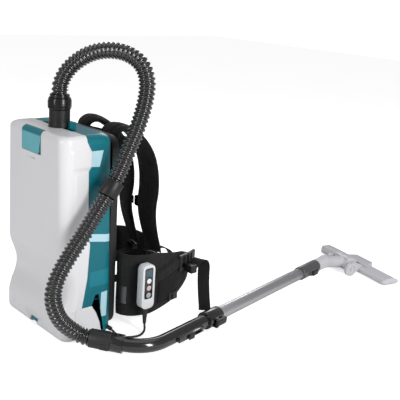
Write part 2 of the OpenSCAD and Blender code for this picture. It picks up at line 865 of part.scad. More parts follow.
module lock_sleeve() {
    color("gray") at_wand() translate([0, pipe_len + sleeve_len, 0]) rotate([90, 0, 0])
        difference() {
            union() {
                cylinder(h = sleeve_len, r = pipe_d/2 + 3);
                translate([pipe_d/2, -9, 18]) cube([9, 18, 48]);
            }
            translate([0, 0, -1]) cylinder(h = sleeve_len - 40 + 1, r = pipe_d/2 - pipe_wall - 0.1);
            translate([0, 0, sleeve_len - 40]) cylinder(h = 60, r = pipe_d/2 + 0.1);
            translate([pipe_d/2 + 4, -6.4, 22]) cube([9, 12.8, 40]);
        }
}

module lock_slider() {
    color("#101010") at_wand() translate([0, pipe_len + sleeve_len, 0]) rotate([90, 0, 0]) {
        translate([pipe_d/2 + 4.4, -6, 30]) cube([6, 12, 31.5]);
        translate([pipe_d/2 + 9.4, -8.5, 32]) cube([5, 17, 28]);
    }
}

neck_y = pipe_len + sleeve_len + 6;

module inner_pipe() {
    bore_r = pipe_d/2 - pipe_wall;
    color("lightgray") at_wand() translate([0, neck_y + 24, 0]) rotate([90, 0, 0]) difference() {
        cylinder(h = pipe_len - 20, r = bore_r - 0.4);
        translate([0, 0, -1]) cylinder(h = pipe_len, r = bore_r - 2);
    }
}

// Hub of the nozzle seen from the wand's frame
hub = [[cos(wand_yaw), sin(wand_yaw), 0], [-sin(wand_yaw), cos(wand_yaw), 0], [0, 0, 1]]
    *(NOZZLE + [-sin(nozzle_yaw)*drum_y, cos(nozzle_yaw)*drum_y, drum_z] - WAND);

module nozzle_neck() {
    bend = [0, neck_y + 58, 0];
    color("gainsboro") difference() {
        union() {
            at_wand() {
                translate([0, neck_y + 58, 0]) rotate([90, 0, 0])
                    cylinder(h = 58, r = pipe_d/2 + 2.5);
                translate(bend) sphere(pipe_d/2 + 4);
                rod(bend, hub, pipe_d/2 + 1.5);
            }
            at_nozzle() bar(-33, 33, drum_y, drum_z, drum_r);
        }
        at_wand() translate([0, neck_y + 30, 0]) rotate([90, 0, 0])
            cylinder(h = 40, r = pipe_d/2 - pipe_wall);
        at_nozzle() bar(-40, 40, drum_y, drum_z, 4.05);
    }
}

axle_y = drum_y - 18;

module nozzle_head() {
    color("gainsboro") at_nozzle() difference() {
        union() {
            // plate with long chamfered ends
            intersection() {
                translate([0, 0, 5]) linear_extrude(height = nozzle_h - 5)
                    polygon(rounded(nozzle_w, nozzle_d, 14));
                side_prism([[-nozzle_d/2, 0], [-nozzle_d/2, nozzle_h*0.6],
                    [-nozzle_d*0.34, nozzle_h], [nozzle_d*0.1, nozzle_h],
                    [nozzle_d/2, nozzle_h*0.45], [nozzle_d/2, 0]], -nozzle_w, nozzle_w);
            }
            translate([0, 0, 5]) linear_extrude(height = nozzle_h)
                polygon([[-62, -20], [62, -20], [40, 28], [-40, 28]]);
            // yoke of the drum
            for (side = [-1, 1]) hull() {
                bar(side*39 - 5, side*39 + 5, drum_y, drum_z, 13);
                bar(side*39 - 5, side*39 + 5, axle_y, wheel_d/2, 9);
                block([side*39 - 5, -22, 6], [side*39 + 5, -18, nozzle_h + 2]);
            }
            bar(-34.2, 34.2, drum_y, drum_z, 4);
        }
        // room for the drum
        bar(-33.6, 33.6, drum_y, drum_z, drum_r + 0.8);
    }
    color("silver") at_nozzle() {
        bar(-34.2, 34.2, drum_y, drum_z, 4);
        for (side = [-1, 1]) bar(side > 0 ? 40 : -60, side > 0 ? 60 : -40, axle_y, wheel_d/2, 3);
    }
}

module nozzle_sole() {
    color("#303030") at_nozzle() {
        difference() {
            translate([0, 0, 2]) linear_extrude(height = 3) polygon(rounded(nozzle_w - 8,
                nozzle_d - 8, 11));
            block([-nozzle_w*0.4, -8, 0], [nozzle_w*0.4, 8, 10]);
        }
        for (y = [-nozzle_d*0.34, nozzle_d*0.34])
            block([-nozzle_w*0.43, y - 3, 0], [nozzle_w*0.43, y + 3, 2]);
    }
}

module wheel(side) {
    x0 = side > 0 ? 45 : -45 - wheel_w;
    color("lightgray") at_nozzle() difference() {
        bar(x0, x0 + wheel_w, axle_y, wheel_d/2, wheel_d/2);
        bar(x0 - 1, x0 + wheel_w + 1, axle_y, wheel_d/2, 3.05);
        bar(side > 0 ? x0 + wheel_w - 3 : x0 - 1, side > 0 ? x0 + wheel_w + 1 : x0 + 3, axle_y,
            wheel_d/2, wheel_d/2 - 5);
    }
}

module wheel_left() {
    wheel(-1);
}

module wheel_right() {
    wheel(1);
}

front_cover();
cover_latch();
latch_pin();
hinge_pin();
cover_gasket();
main_housing();
side_cover_left();
side_cover_right();
housing_screws();
inlet_flange();
inlet_collar();
inlet_cuff();
bag_holder();
dust_bag();
filter_frame();
hepa_filter();
motor_unit();
motor_ring();
controller_board();
battery_left();
battery_right();
battery_button_left();
battery_button_right();
battery_terminals();
back_frame();
back_pad();
shoulder_strap_left();
shoulder_strap_right();
strap_webbing();
strap_buckles();
sternum_strap();
sternum_buckle();
belt_wing_left();
belt_wing_right();
belt_webbing();
belt_buckles();
hose_holder();
handset_body();
handset_panel();
button_power();
button_mode();
button_eco();
handset_clip();
handset_grommet();
handset_cable();
cable_gland();
hose();
hose_swivel();
grip();
suction_slider();
clamp_lever();
outer_pipe();
lock_sleeve();
lock_slider();
inner_pipe();
nozzle_neck();
nozzle_head();
nozzle_sole();
wheel_left();
wheel_right();
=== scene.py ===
import json
import math

import bmesh
import bpy
from mathutils import Matrix, Vector, noise


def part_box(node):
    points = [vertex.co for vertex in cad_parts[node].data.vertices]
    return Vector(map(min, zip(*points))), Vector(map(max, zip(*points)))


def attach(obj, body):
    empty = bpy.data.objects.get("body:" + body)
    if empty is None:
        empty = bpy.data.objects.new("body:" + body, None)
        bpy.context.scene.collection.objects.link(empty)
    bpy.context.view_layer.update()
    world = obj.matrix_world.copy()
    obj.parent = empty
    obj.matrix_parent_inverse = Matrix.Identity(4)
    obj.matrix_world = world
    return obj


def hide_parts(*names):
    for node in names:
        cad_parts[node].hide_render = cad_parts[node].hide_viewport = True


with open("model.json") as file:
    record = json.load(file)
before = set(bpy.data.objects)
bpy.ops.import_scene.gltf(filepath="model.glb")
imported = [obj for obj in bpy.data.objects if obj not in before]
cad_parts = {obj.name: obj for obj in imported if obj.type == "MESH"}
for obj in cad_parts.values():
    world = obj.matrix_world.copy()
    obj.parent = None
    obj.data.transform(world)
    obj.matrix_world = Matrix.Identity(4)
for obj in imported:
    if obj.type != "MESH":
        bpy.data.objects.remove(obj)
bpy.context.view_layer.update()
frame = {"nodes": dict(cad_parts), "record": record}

# ---------- studio ----------
# A flat sheet of white paper lies under the machine in a white room. Tall soft
# boxes light its side and its front, a large one hangs above, and one behind
# draws the edges of the black parts.

MM = 0.001
FOCAL = 66.6
SENSOR = 36
TURN, DIP, ROLL = math.radians(47.249), math.radians(16.088), math.radians(3.7986)
EYE = Vector((1.6088, -0.9855, 0.8933))
ROOM_LIGHT = 0.36
ROOM_SEEN = 1.5
PAPER_GLOW = 0.62
PAPER_REACH = 9

scene = bpy.context.scene
scene.view_settings.view_transform = "Standard"
scene.view_settings.exposure = 0.0


def aimed(back, roll=0.0):
    """Rotation of a camera or a light that looks along -back."""
    right = Vector((0, 0, 1)).cross(back).normalized()
    up = back.cross(right)
    x = math.cos(roll) * right + math.sin(roll) * up
    y = -math.sin(roll) * right + math.cos(roll) * up
    return Matrix((x, y, back)).transposed().to_quaternion()


def in_scene(name, data):
    item = bpy.data.objects.new(name, data)
    scene.collection.objects.link(item)
    return item


lens = bpy.data.cameras.new("camera")
lens.lens, lens.sensor_width = FOCAL, SENSOR
lens.clip_start, lens.clip_end = 0.05, 50
camera = in_scene("camera", lens)
camera.rotation_mode = "QUATERNION"
camera.location = EYE
camera.rotation_quaternion = aimed(
    Vector((math.sin(TURN) * math.cos(DIP), -math.cos(TURN) * math.cos(DIP), math.sin(DIP))),
    ROLL,
)
scene.camera = camera


def soft_box(name, place, target, size, power):
    data = bpy.data.lights.new(name, "AREA")
    data.shape, data.size, data.size_y = "RECTANGLE", size[0], size[1]
    data.energy = power
    light = in_scene(name, data)
    light.location = place
    light.rotation_mode = "QUATERNION"
    light.rotation_quaternion = aimed((Vector(place) - Vector(target)).normalized())


soft_box("side", (2.9, 0.3, 1.3), (0.1, 0.3, 0.3), (0.5, 1.6), 58)
soft_box("front", (0.5, -3.0, 1.5), (0.1, 0.2, 0.3), (0.5, 1.6), 30)
soft_box("top", (0.3, 0.6, 3.0), (0.2, 0.4, 0.0), (2.4, 2.4), 14)
soft_box("rim", (-1.9, 2.4, 1.9), (0.1, 0.2, 0.4), (1.0, 1.6), 18)

world = bpy.data.worlds.new("room")
world.use_nodes = True
room = world.node_tree
room.nodes["Background"].inputs["Color"].default_value = (1, 1, 1, 1)
room.nodes["Background"].inputs["Strength"].default_value = ROOM_LIGHT
seen = room.nodes.new("ShaderNodeBackground")
seen.inputs["Color"].default_value = (1, 1, 1, 1)
seen.inputs["Strength"].default_value = ROOM_SEEN
rays = room.nodes.new("ShaderNodeLightPath")
choice = room.nodes.new("ShaderNodeMixShader")
room.links.new(rays.outputs["Is Camera Ray"], choice.inputs[0])
room.links.new(room.nodes["Background"].outputs[0], choice.inputs[1])
room.links.new(seen.outputs[0], choice.inputs[2])
room.links.new(choice.outputs[0], room.nodes["World Output"].inputs["Surface"])
scene.world = world

floor_mesh = bpy.data.meshes.new("floor")
floor_mesh.from_pydata(
    [(x * PAPER_REACH, y * PAPER_REACH, 0) for x, y in ((-1, -1), (1, -1), (1, 1), (-1, 1))],
    [], [(0, 1, 2, 3)])
floor = in_scene("floor", floor_mesh)
paper = bpy.data.materials.new("paper")
paper.use_nodes = True
paper.node_tree.nodes["Principled BSDF"].inputs["Base Color"].default_value = (0.93, 0.93, 0.93, 1)
paper.node_tree.nodes["Principled BSDF"].inputs["Roughness"].default_value = 0.85
paper.node_tree.nodes["Principled BSDF"].inputs["Emission Color"].default_value = (1, 1, 1, 1)
glow = paper.node_tree.nodes.new("ShaderNodeMath")
glow.operation = "MULTIPLY"
glow.inputs[1].default_value = PAPER_GLOW
paper.node_tree.links.new(
    paper.node_tree.nodes.new("ShaderNodeLightPath").outputs["Is Camera Ray"], glow.inputs[0])
paper.node_tree.links.new(
    glow.outputs[0], paper.node_tree.nodes["Principled BSDF"].inputs["Emission Strength"])
floor_mesh.materials.append(paper)

# ---------- hose ----------
# Corrugated plastic hose, blow moulded over a wire, glossy on the crest of each
# rib. It leaves the collar on top of the pack, passes the clip on the harness and
# comes round in front of the cover to the grip.

HOSE_D = 42
RIB_PITCH = 11
RIB_DEPTH = 3.8
HOSE_ROUTE = [
    (0, 0, 612), (0, 2, 636), (6, 14, 666), (22, 34, 694), (50, 58, 717), (86, 84, 728),
    (126, 110, 724), (160, 129, 702), (180, 134, 664), (187, 126, 616), (190, 106, 560),
    (191, 80, 505), (191, 54, 452), (191, 28, 408), (192, -6, 362), (193, -42, 314),
    (194, -80, 268), (196, -112, 226), (198, -130, 190), (199, -134, 158), (200, -126, 124),
    (203, -108, 92), (211, -78, 63), (221, -63, 53), (233, -53, 51),
]


def smooth(points, steps):
    """Smooth curve through the points, with steps between each pair."""
    p = [Vector(q) for q in points]
    p = [2 * p[0] - p[1], *p, 2 * p[-1] - p[-2]]
    curve = []
    for a, b, c, d in zip(p, p[1:], p[2:], p[3:]):
        for k in range(steps):
            t = k / steps
            curve.append(0.5 * (
                2 * b + (c - a) * t + (2 * a - 5 * b + 4 * c - d) * t**2
                + (3 * b - a - 3 * c + d) * t**3
            ))
    return [*curve, p[-2]]


def length_of(points):
    return sum((b - a).length for a, b in zip(points, points[1:]))


def even(points, step):
    """The same line with its points a step apart."""
    count = max(2, round(length_of(points) / step))
    gap = length_of(points) / count
    out, walked, k = [points[0]], 0.0, 0
    for i in range(1, count):
        while walked + (points[k + 1] - points[k]).length < i * gap:
            walked += (points[k + 1] - points[k]).length
            k += 1
        a, b = points[k], points[k + 1]
        out.append(a + (b - a) * ((i * gap - walked) / (b - a).length))
    return [*out, points[-1]]


def frames_along(points):
    """Tangent and two side vectors at each point, carried along without twist."""
    out, side = [], None
    for i in range(len(points)):
        ahead = (points[min(i + 1, len(points) - 1)] - points[max(i - 1, 0)]).normalized()
        if side is None:
            side = ahead.orthogonal()
        side = (side - ahead * side.dot(ahead)).normalized()
        out.append((ahead, side, ahead.cross(side)))
    return out


def solid(name, points, faces, flat=False):
    """A mesh object from points in millimetres."""
    mesh = bpy.data.meshes.new(name)
    mesh.from_pydata([Vector(p) * MM for p in points], [], faces)
    mesh.validate()
    mesh.polygons.foreach_set("use_smooth", [not flat] * len(mesh.polygons))
    tidy = bmesh.new()
    tidy.from_mesh(mesh)
    bmesh.ops.recalc_face_normals(tidy, faces=tidy.faces)
    tidy.to_mesh(mesh)
    tidy.free()
    return in_scene(name, mesh)


def skin(rings, closed=True, caps=True):
    """Faces over rings of equal length, and the rings' points in one list."""
    n = len(rings[0])
    points = [p for ring in rings for p in ring]
    faces = []
    for i in range(len(rings) - 1):
        for k in range(n if closed else n - 1):
            m = (k + 1) % n
            faces.append((i * n + k, i * n + m, (i + 1) * n + m, (i + 1) * n + k))
    if caps:
        faces.append(tuple(range(n - 1, -1, -1)))
        faces.append(tuple(range(len(points) - n, len(points))))
    return points, faces


def swept(name, line, radius, sides=32):
    """Round tube along a line. radius is a number, or a list of one for each point."""
    rings = []
    for i, (p, (_, u, v)) in enumerate(zip(line, frames_along(line))):
        r = radius[i] if isinstance(radius, list) else radius
        rings.append([
            p + r * (math.cos(2 * math.pi * k / sides) * u + math.sin(2 * math.pi * k / sides) * v)
            for k in range(sides)
        ])
    return solid(name, *skin(rings))


def join(inlet, value):
    """Puts a number, a colour or a wire into a socket."""
    if isinstance(value, Wire):
        inlet.id_data.links.new(value.socket, inlet)
    elif hasattr(value, "__len__") and len(value) == 3 and inlet.type == "RGBA":
        inlet.default_value = (*value, 1)
    else:
        inlet.default_value = value


class Wire:
    """An output of a shader node. Arithmetic on it adds Math nodes."""

    def __init__(self, socket):
        self.socket = socket

    def maths(self, operation, *values):
        node = self.socket.id_data.nodes.new("ShaderNodeMath")
        node.operation = operation
        for inlet, value in zip(node.inputs, values):
            join(inlet, value)
        return Wire(node.outputs[0])

    def __add__(self, other):
        return self.maths("ADD", self, other)

    def __radd__(self, other):
        return self.maths("ADD", other, self)

    def __sub__(self, other):
        return self.maths("SUBTRACT", self, other)

    def __rsub__(self, other):
        return self.maths("SUBTRACT", other, self)

    def __mul__(self, other):
        return self.maths("MULTIPLY", self, other)

    def __rmul__(self, other):
        return self.maths("MULTIPLY", other, self)

    def __gt__(self, other):
        return self.maths("GREATER_THAN", self, other)

    def __lt__(self, other):
        return self.maths("LESS_THAN", self, other)

    def wave(self):
        return self.maths("SINE", self)

    def size(self):
        return self.maths("ABSOLUTE", self)


class Finish:
    """One material, on a Principled shader."""

    def __init__(self, name, color, roughness, **constants):
        self.material = bpy.data.materials.new(name)
        self.material.use_nodes = True
        self.tree = self.material.node_tree
        self.shader = self.tree.nodes["Principled BSDF"]
        self.color = color
        self.set("Base Color", color)
        self.set("Roughness", roughness)
        for key, value in constants.items():
            self.set(key.replace("_", " "), value)

    def set(self, inlet, value):
        join(self.shader.inputs[inlet], value)

    def node(self, kind, settings=None, inputs=None, output=0):
        made = self.tree.nodes.new("ShaderNode" + kind)
        for key, value in (settings or {}).items():
            setattr(made, key, value)
        for key, value in (inputs or {}).items():
            join(made.inputs[key], value)
        return Wire(made.outputs[output])

    def place(self):
        """Place in the part's frame, in metres."""
        return self.node("TexCoord", output="Object")

    def xyz(self):
        parts = self.node("SeparateXYZ", inputs={"Vector": self.place()}).socket.node
        return [Wire(s) for s in parts.outputs]

    def speckle(self, scale, detail=3.0, place=None):
        return self.node("TexNoise", inputs={
            "Vector": place or self.place(), "Scale": scale, "Detail": detail})

    def mix(self, share, a, b):
        """Colour a where share is 0, b where it is 1."""
        return self.node("Mix", {"data_type": "RGBA"}, {0: share, 6: a, 7: b}, output=2)

    def bump(self, height, depth, strength=1.0):
        """Raises the surface by height times depth in metres."""
        self.set("Normal", self.node("Bump", inputs={
            "Height": height, "Distance": depth, "Strength": strength}))

    def moulded(self, grain=900, depth=0.00004, shade=0.10, rough=0.08):
        """Moulded plastic: a fine grain and a slow, faint change of colour and gloss."""
        cloud = self.speckle(9, 4)
        dark = tuple(c * (1 - shade) for c in self.color)
        self.set("Base Color", self.mix(cloud, dark, self.color))
        base = self.shader.inputs["Roughness"].default_value
        self.set("Roughness", base + rough * (self.speckle(38, 5) - 0.5))
        self.bump(self.speckle(grain, 2), depth)
        return self


bodies = frame["record"]["behaviour"]["bodies"]
body_of_node = {node: body for body, nodes in bodies.items() for node in nodes}


def fit(piece, finish, *nodes, body=None, slot=None):
    """Gives a piece its finish and its body, and lets it stand for its CAD nodes."""
    piece.data.materials.clear()
    piece.data.materials.append(finish.material)
    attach(piece, body or body_of_node[nodes[0]])
    if nodes:
        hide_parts(*nodes)
    return piece


hose_black = Finish("hose_black", (0.005, 0.005, 0.006), 0.20, Coat_Weight=1.0, Coat_Roughness=0.10)
hose_black.moulded(grain=500, depth=0.00003, shade=0.3, rough=0.12)

hose_line = even(smooth(HOSE_ROUTE, 12), RIB_PITCH / 8)
RIB = (0, 0.03, 0.4, 0.95, 1, 0.95, 0.4, 0.03)
rib_profile = [HOSE_D / 2 - RIB_DEPTH * RIB[i % 8] for i in range(len(hose_line))]
hose = fit(swept("hose_ribbed", hose_line, rib_profile, 36), hose_black, "hose")
hose_length = length_of(hose_line) * MM
[p * MM for p in hose_line[::3]]

# ---------- handset cable ----------
# Round rubber cable. It comes out of a gland in the right leg, lies along the
# floor and goes up into the strain relief under the handset.

CABLE_D = 6
CABLE_ROUTE = [
    (166, 60, 16), (176, 60, 14), (190, 63, 8), (203, 72, 4), (214, 87, 4), (220, 105, 4),
    (220, 119, 5), (215, 132, 8), (208, 140, 13), (203, 143, 19), (202, 143, 26),
]

cable_rubber = Finish("cable_rubber", (0.018, 0.018, 0.019), 0.5).moulded(1400, 0.00002, 0.2)
cable_line = even(smooth(CABLE_ROUTE, 12), 2.5)
cable = fit(swept("cable", cable_line, CABLE_D / 2, 20), cable_rubber, "handset_cable")
length_of(cable_line) * MM
[p * MM for p in cable_line[::2]]

# ---------- rear shell of the pack ----------
# Injection moulded shell in deep teal. It carries the motor, the bag and the
# back frame. Pale panels are printed on its sides, and its two legs leave a bay
# for the batteries.

PACK_H, HALF_W, HALF_TOP = 530, 153, 138
FRONT_Y, REAR_Y = -75, 75
CORNER, EDGE, REAR_EDGE = 28, 14, 22
SHELL = 3
SEAM_GAP = 0.5
BAY_TOP = 88
SHELF_Z = 216
WAIST_Z, WAIST_DEEP, WAIST_REACH = 138, 22, 86
# side outline of the seam, as (z, y) from the floor up
SEAM = [
    (0, -46), (8, -41), (14, -40), (87.8, -40), (88, -21), (164, -5), (249, 3), (257, 3),
    (270, -3), (440, -3), (456, 6), (493, 6), (516, -6), (531, -6),
]
ARC_STEPS = 9


def eased(low, high, value):
    t = min(1, max(0, (value - low) / (high - low)))
    return t * t * (3 - 2 * t)


def seam_at(z):
    for (z0, y0), (z1, y1) in zip(SEAM, SEAM[1:]):
        if z <= z1:
            return y0 + (y1 - y0) * (z - z0) / (z1 - z0)
    return SEAM[-1][1]


def half_width(z):
    share = min(1, max(0, (z - EDGE) / (PACK_H - 2 * EDGE)))
    return HALF_W + (HALF_TOP - HALF_W) * share


def waist(z):
    """How far the waist draws the front in at a height."""
    off = min(1, abs(z - WAIST_Z) / WAIST_REACH)
    return WAIST_DEEP * (0.5 + 0.5 * math.cos(math.pi * off)) ** 0.9


def spread(a, b, count):
    return [a + (b - a) * i / count for i in range(count + 1)]


def half_outline(w, y_face, seam_y, z, toward, flank, across):
    """Outline from one seam round the face to the other seam. toward is -1 for the
    cover's face and 1 for the back's, w the half width and y_face the face's y."""
    r = min(CORNER, max(1.5, toward * (y_face - seam_y) - 1), w - 1)
    r = max(1.5, r)
    corner_y = y_face - toward * r
    out = [(-w, y, z) for y in spread(seam_y, corner_y, flank)[:-1]]
    for k in range(ARC_STEPS):
        a = math.radians(90 * k / ARC_STEPS)
        out.append((-w + r - r * math.cos(a), corner_y + toward * r * math.sin(a), z))
    out += [(x, y_face, z) for x in spread(-w + r, w - r, across)[:-1]]
    for k in range(ARC_STEPS):
        a = math.radians(90 - 90 * k / ARC_STEPS)
        out.append((w - r + r * math.cos(a), corner_y + toward * r * math.sin(a), z))
    return out + [(w, y, z) for y in spread(corner_y, seam_y, flank)]


def shell_levels(step, low_edge, high_edge, cap):
    """(height, inset) of each row from the middle of the base to that of the top."""
    rows = [(0, inset) for inset in spread(low_edge + cap[0], low_edge, 4)[:-1]]
    for k in range(7):
        a = math.radians(15 * k)
        rows.append((low_edge * (1 - math.cos(a)), low_edge * (1 - math.sin(a))))
    count = round((PACK_H - high_edge - low_edge) / step)
    rows += [(z, 0) for z in spread(low_edge, PACK_H - high_edge, count)[1:-1]]
    rows += [(87.8, 0), (88.0, 0)]
    rows.sort(key=lambda row: (row[0], -row[1]))
    for k in range(9):
        a = math.radians(11.25 * k)
        rows.append((PACK_H - high_edge + high_edge * math.sin(a), high_edge * (1 - math.cos(a))))
    rows += [(PACK_H, inset) for inset in spread(high_edge, high_edge + cap[1], 9)[1:]]
    return rows


def add_modifier(piece, kind, **settings):
    made = piece.modifiers.new(kind.lower(), kind)
    for key, value in settings.items():
        setattr(made, key, value)
    return made


def settle(piece):
    """Applies every modifier of a piece to its mesh."""
    ready = piece.evaluated_get(bpy.context.evaluated_depsgraph_get())
    old = piece.data
    piece.data = bpy.data.meshes.new_from_object(ready)
    piece.modifiers.clear()
    bpy.data.meshes.remove(old)
    return piece


def carve(piece, *tools, operation="DIFFERENCE"):
    """Cuts the tools out of a piece, or joins them to it, and removes them."""
    for tool in tools:
        add_modifier(piece, "BOOLEAN", operation=operation, object=tool, solver="EXACT")
        settle(piece)
        bpy.data.objects.remove(tool)
    return piece


def brick(low, high, name="tool"):
    """Box between two corners."""
    (x0, y0, z0), (x1, y1, z1) = low, high
    points = [(x, y, z) for z in (z0, z1) for x, y in ((x0, y0), (x1, y0), (x1, y1), (x0, y1))]
    return solid(name, *skin([points[:4], points[4:]]), flat=True)


def prism(outline, along, low, high, name="tool"):
    """Prism of a flat outline. along is the axis it is drawn out in, 0 for X."""
    def at(q, level):
        return [(level, *q), (q[0], level, q[1]), (*q, level)][along]
    ends = [[at(q, level) for q in outline] for level in (low, high)]
    return solid(name, *skin(ends), flat=True)


def drum(a, b, radius, sides=48, name="tool"):
    """Round bar from a to b, with flat ends."""
    a, b = Vector(a), Vector(b)
    ahead = (b - a).normalized()
    u = ahead.orthogonal().normalized()
    v = ahead.cross(u)
    rings = [[
        p + radius * (math.cos(2 * math.pi * k / sides) * u + math.sin(2 * math.pi * k / sides) * v)
        for k in range(sides)] for p in (a, b)]
    return solid(name, *skin(rings))


def softened(piece, width=0.6, segments=2, angle=38):
    """Rounds every sharp edge a little, as a mould does."""
    add_modifier(
        piece, "BEVEL", width=width * MM, segments=segments, limit_method="ANGLE",
        angle_limit=math.radians(angle), harden_normals=True, use_clamp_overlap=True)
    piece.data.polygons.foreach_set("use_smooth", [True] * len(piece.data.polygons))
    return piece


rows = []
for z, inset in shell_levels(6, EDGE, REAR_EDGE, (20, 46)):
    limit = REAR_Y - seam_at(z) - 3
    inset = min(inset, limit)
    rows.append(half_outline(
        half_width(z) - inset, REAR_Y - inset, seam_at(z) + SEAM_GAP, z, 1, 16, 20))
housing = solid("rear_shell", *skin(rows, closed=False, caps=False))
add_modifier(housing, "SOLIDIFY", thickness=SHELL * MM, offset=-1)
settle(housing)
bay = prism(
    [(-60, 4), (-60, BAY_TOP), (9, BAY_TOP), (20, BAY_TOP + 28), (30, BAY_TOP + 28), (47, 4)],
    0, -200, 200)
throat = drum((0, 0, PACK_H - 30), (0, 0, PACK_H + 30), 28.6)
slots = [brick((-200, 24, BAY_TOP + 28 + 9 * i), (-80, 60, BAY_TOP + 32 + 9 * i)) for i in range(8)]
carve(housing, bay, throat, *slots)

teal = Finish("teal_shell", (0.0, 0.15, 0.19), 0.36, Specular_IOR_Level=0.35)
teal.moulded(700, 0.00004, 0.12)
x, y, z = teal.xyz()
y, z = y * 1000, z * 1000


def window(value, low, high):
    return (value > low) * (value < high)


on_side = (x.size() * 1000) > 118
prints = on_side * window(z, 454 - 0.09 * y, 492) * window(y, -20, 41 - 0.27 * (492 - z))
prints = prints + on_side * window(y, 45, 63) * window(z, 345, 366)
prints = prints + on_side * window(z, 255 - 0.18 * y + 8, 275 - 0.18 * y + 8) * window(y, -30, 67)
prints = prints + on_side * window(
    y, 34 + 0.06 * (z - 51), 54 + 0.06 * (z - 51)) * window(z, 51, 119)
lighter = on_side * window(z, 140, 180) * window(y, 3, 63)
plain = teal.mix(teal.speckle(9, 4), (0.0, 0.125, 0.165), (0.0, 0.16, 0.20))
plain = teal.mix(lighter * 0.55, plain, (0.01, 0.23, 0.30))
teal.set("Base Color", teal.mix(prints, plain, (0.44, 0.66, 0.74)))
fit(housing, teal, "main_housing")

deck = brick((-134, -37, 0), (134, 72, 4), "battery_tray")
carve(
    deck, brick((-149, -19, BAY_TOP), (149, 8, BAY_TOP + 3)),
    brick((-124, 7, BAY_TOP), (124, 71, BAY_TOP + 3)),
    drum((-17, -61, 14), (17, -61, 14), 9), brick((-17, -61, 1), (17, -36, 12)),
    operation="UNION")
fit(softened(deck, 0.5), teal, body="root", slot="teal_shell")
shelf = brick((-133, -48, SHELF_Z), (133, 72, SHELF_Z + 3), "filter_shelf")
carve(shelf, brick((-85, -36, SHELF_Z - 5), (85, 54, SHELF_Z + 8)))
fit(softened(shelf, 0.5), teal, body="root", slot="teal_shell")
stop = brick((28.6, 8, PACK_H - 2), (38, 26, PACK_H + 15), "inlet_stop")
fit(softened(stop, 2, 3), teal, body="root", slot="teal_shell")

# ---------- dust cover ----------
# Glossy white shell that swings down on a hinge at its foot. It has a waist, a
# pocket for the latch and raised panels beside the seam. A soft lip seals it.

LATCH_X, LATCH_W, LATCH_Z = -10, 92, 477
LEFT, RIGHT = LATCH_X - LATCH_W / 2, LATCH_X + LATCH_W / 2


def panel(y, z):
    """Height of the raised panels on the cover's flank."""
    upper = eased(448, 452, z) * (1 - eased(492, 497, z)) * eased(-54, -48, y)
    lower = eased(336, 344, z) * (1 - eased(438, 442, z)) * eased(-46, -36, y)
    return 2.0 * upper + 1.6 * lower


def foot_fold(x, z):
    """Depth of the fold over the notch in the cover's foot."""
    reach = 21 + 1.25 * max(0, z - 12)
    inside = 1 - eased(reach - 4, reach, abs(x))
    return 8 * inside * (1 - eased(6, 50, z))


rows = []
for z, inset in shell_levels(3, EDGE, EDGE, (13, 53)):
    seam_y = seam_at(z)
    inset = min(inset, seam_y - FRONT_Y - 2)
    face = FRONT_Y + inset + waist(z)
    ring = half_outline(half_width(z) - inset, face, seam_y, z, -1, 16, 44)
    w = half_width(z) - inset
    for k, (px, py, pz) in enumerate(ring):
        if inset == 0:
            px += math.copysign(panel(py, pz), px) if abs(abs(px) - w) < 0.01 else 0
            py += foot_fold(px, pz) if abs(py - face) < 0.01 else 0
        ring[k] = (px, py, pz)
    rows.append(ring)
cover = solid("dust_cover", *skin(rows, closed=False, caps=False))
add_modifier(cover, "SOLIDIFY", thickness=SHELL * MM, offset=-1)
settle(cover)

arc = [(-61 - 13 * math.cos(math.radians(10 * k)), 516 + 13 * math.sin(math.radians(10 * k)))
       for k in range(10)]
backing = prism([(-73, 464), *arc, (-56, 529), (-56, 464)], 0, LEFT - 6, RIGHT + 6)
carve(cover, backing, operation="UNION")
pocket = brick((LEFT - 0.7, -95, LATCH_Z - 8), (RIGHT + 0.7, -60.5, PACK_H + 20))
neck_hole = drum((0, 0, PACK_H - 60), (0, 0, PACK_H + 40), 28.6)
notch = prism([(-20, -5), (-20, 8), (-17, 13), (17, 13), (20, 8), (20, -5)], 1, -95, -40)
groove = drum((-34, -75.4, 455), (8, -75.4, 455), 1.6, 16)
carve(cover, pocket, neck_hole, notch, groove)

white = Finish("white_shell", (0.72, 0.72, 0.74), 0.30, Coat_Weight=0.25, Coat_Roughness=0.22)
white.moulded(900, 0.00003, 0.03, 0.06)
fit(cover, white, "front_cover")
knuckles = drum((-42, -61, 14), (-17.6, -61, 14), 10, name="cover_knuckles")
carve(knuckles, drum((17.6, -61, 14), (42, -61, 14), 10), operation="UNION")
fit(softened(knuckles, 0.5), white, body="cover", slot="white_shell")

# ---------- carried-over pieces ----------
# Pins, screws, seals and the parts inside keep the shape they were designed with.
# Their edges are broken a little, and each gets its own material.


def refined(node, finish, width=0.5, segments=2, merge=0.01):
    """A CAD node's own shape, welded, with its sharp edges rounded."""
    mesh = frame["nodes"][node].data.copy()
    piece = in_scene(node + "_piece", mesh)
    work = bmesh.new()
    work.from_mesh(mesh)
    bmesh.ops.remove_doubles(work, verts=work.verts, dist=merge * MM)
    bmesh.ops.dissolve_limit(
        work, angle_limit=math.radians(0.4), verts=work.verts, edges=work.edges)
    work.to_mesh(mesh)
    work.free()
    softened(piece, width, segments)
    return fit(piece, finish, node)


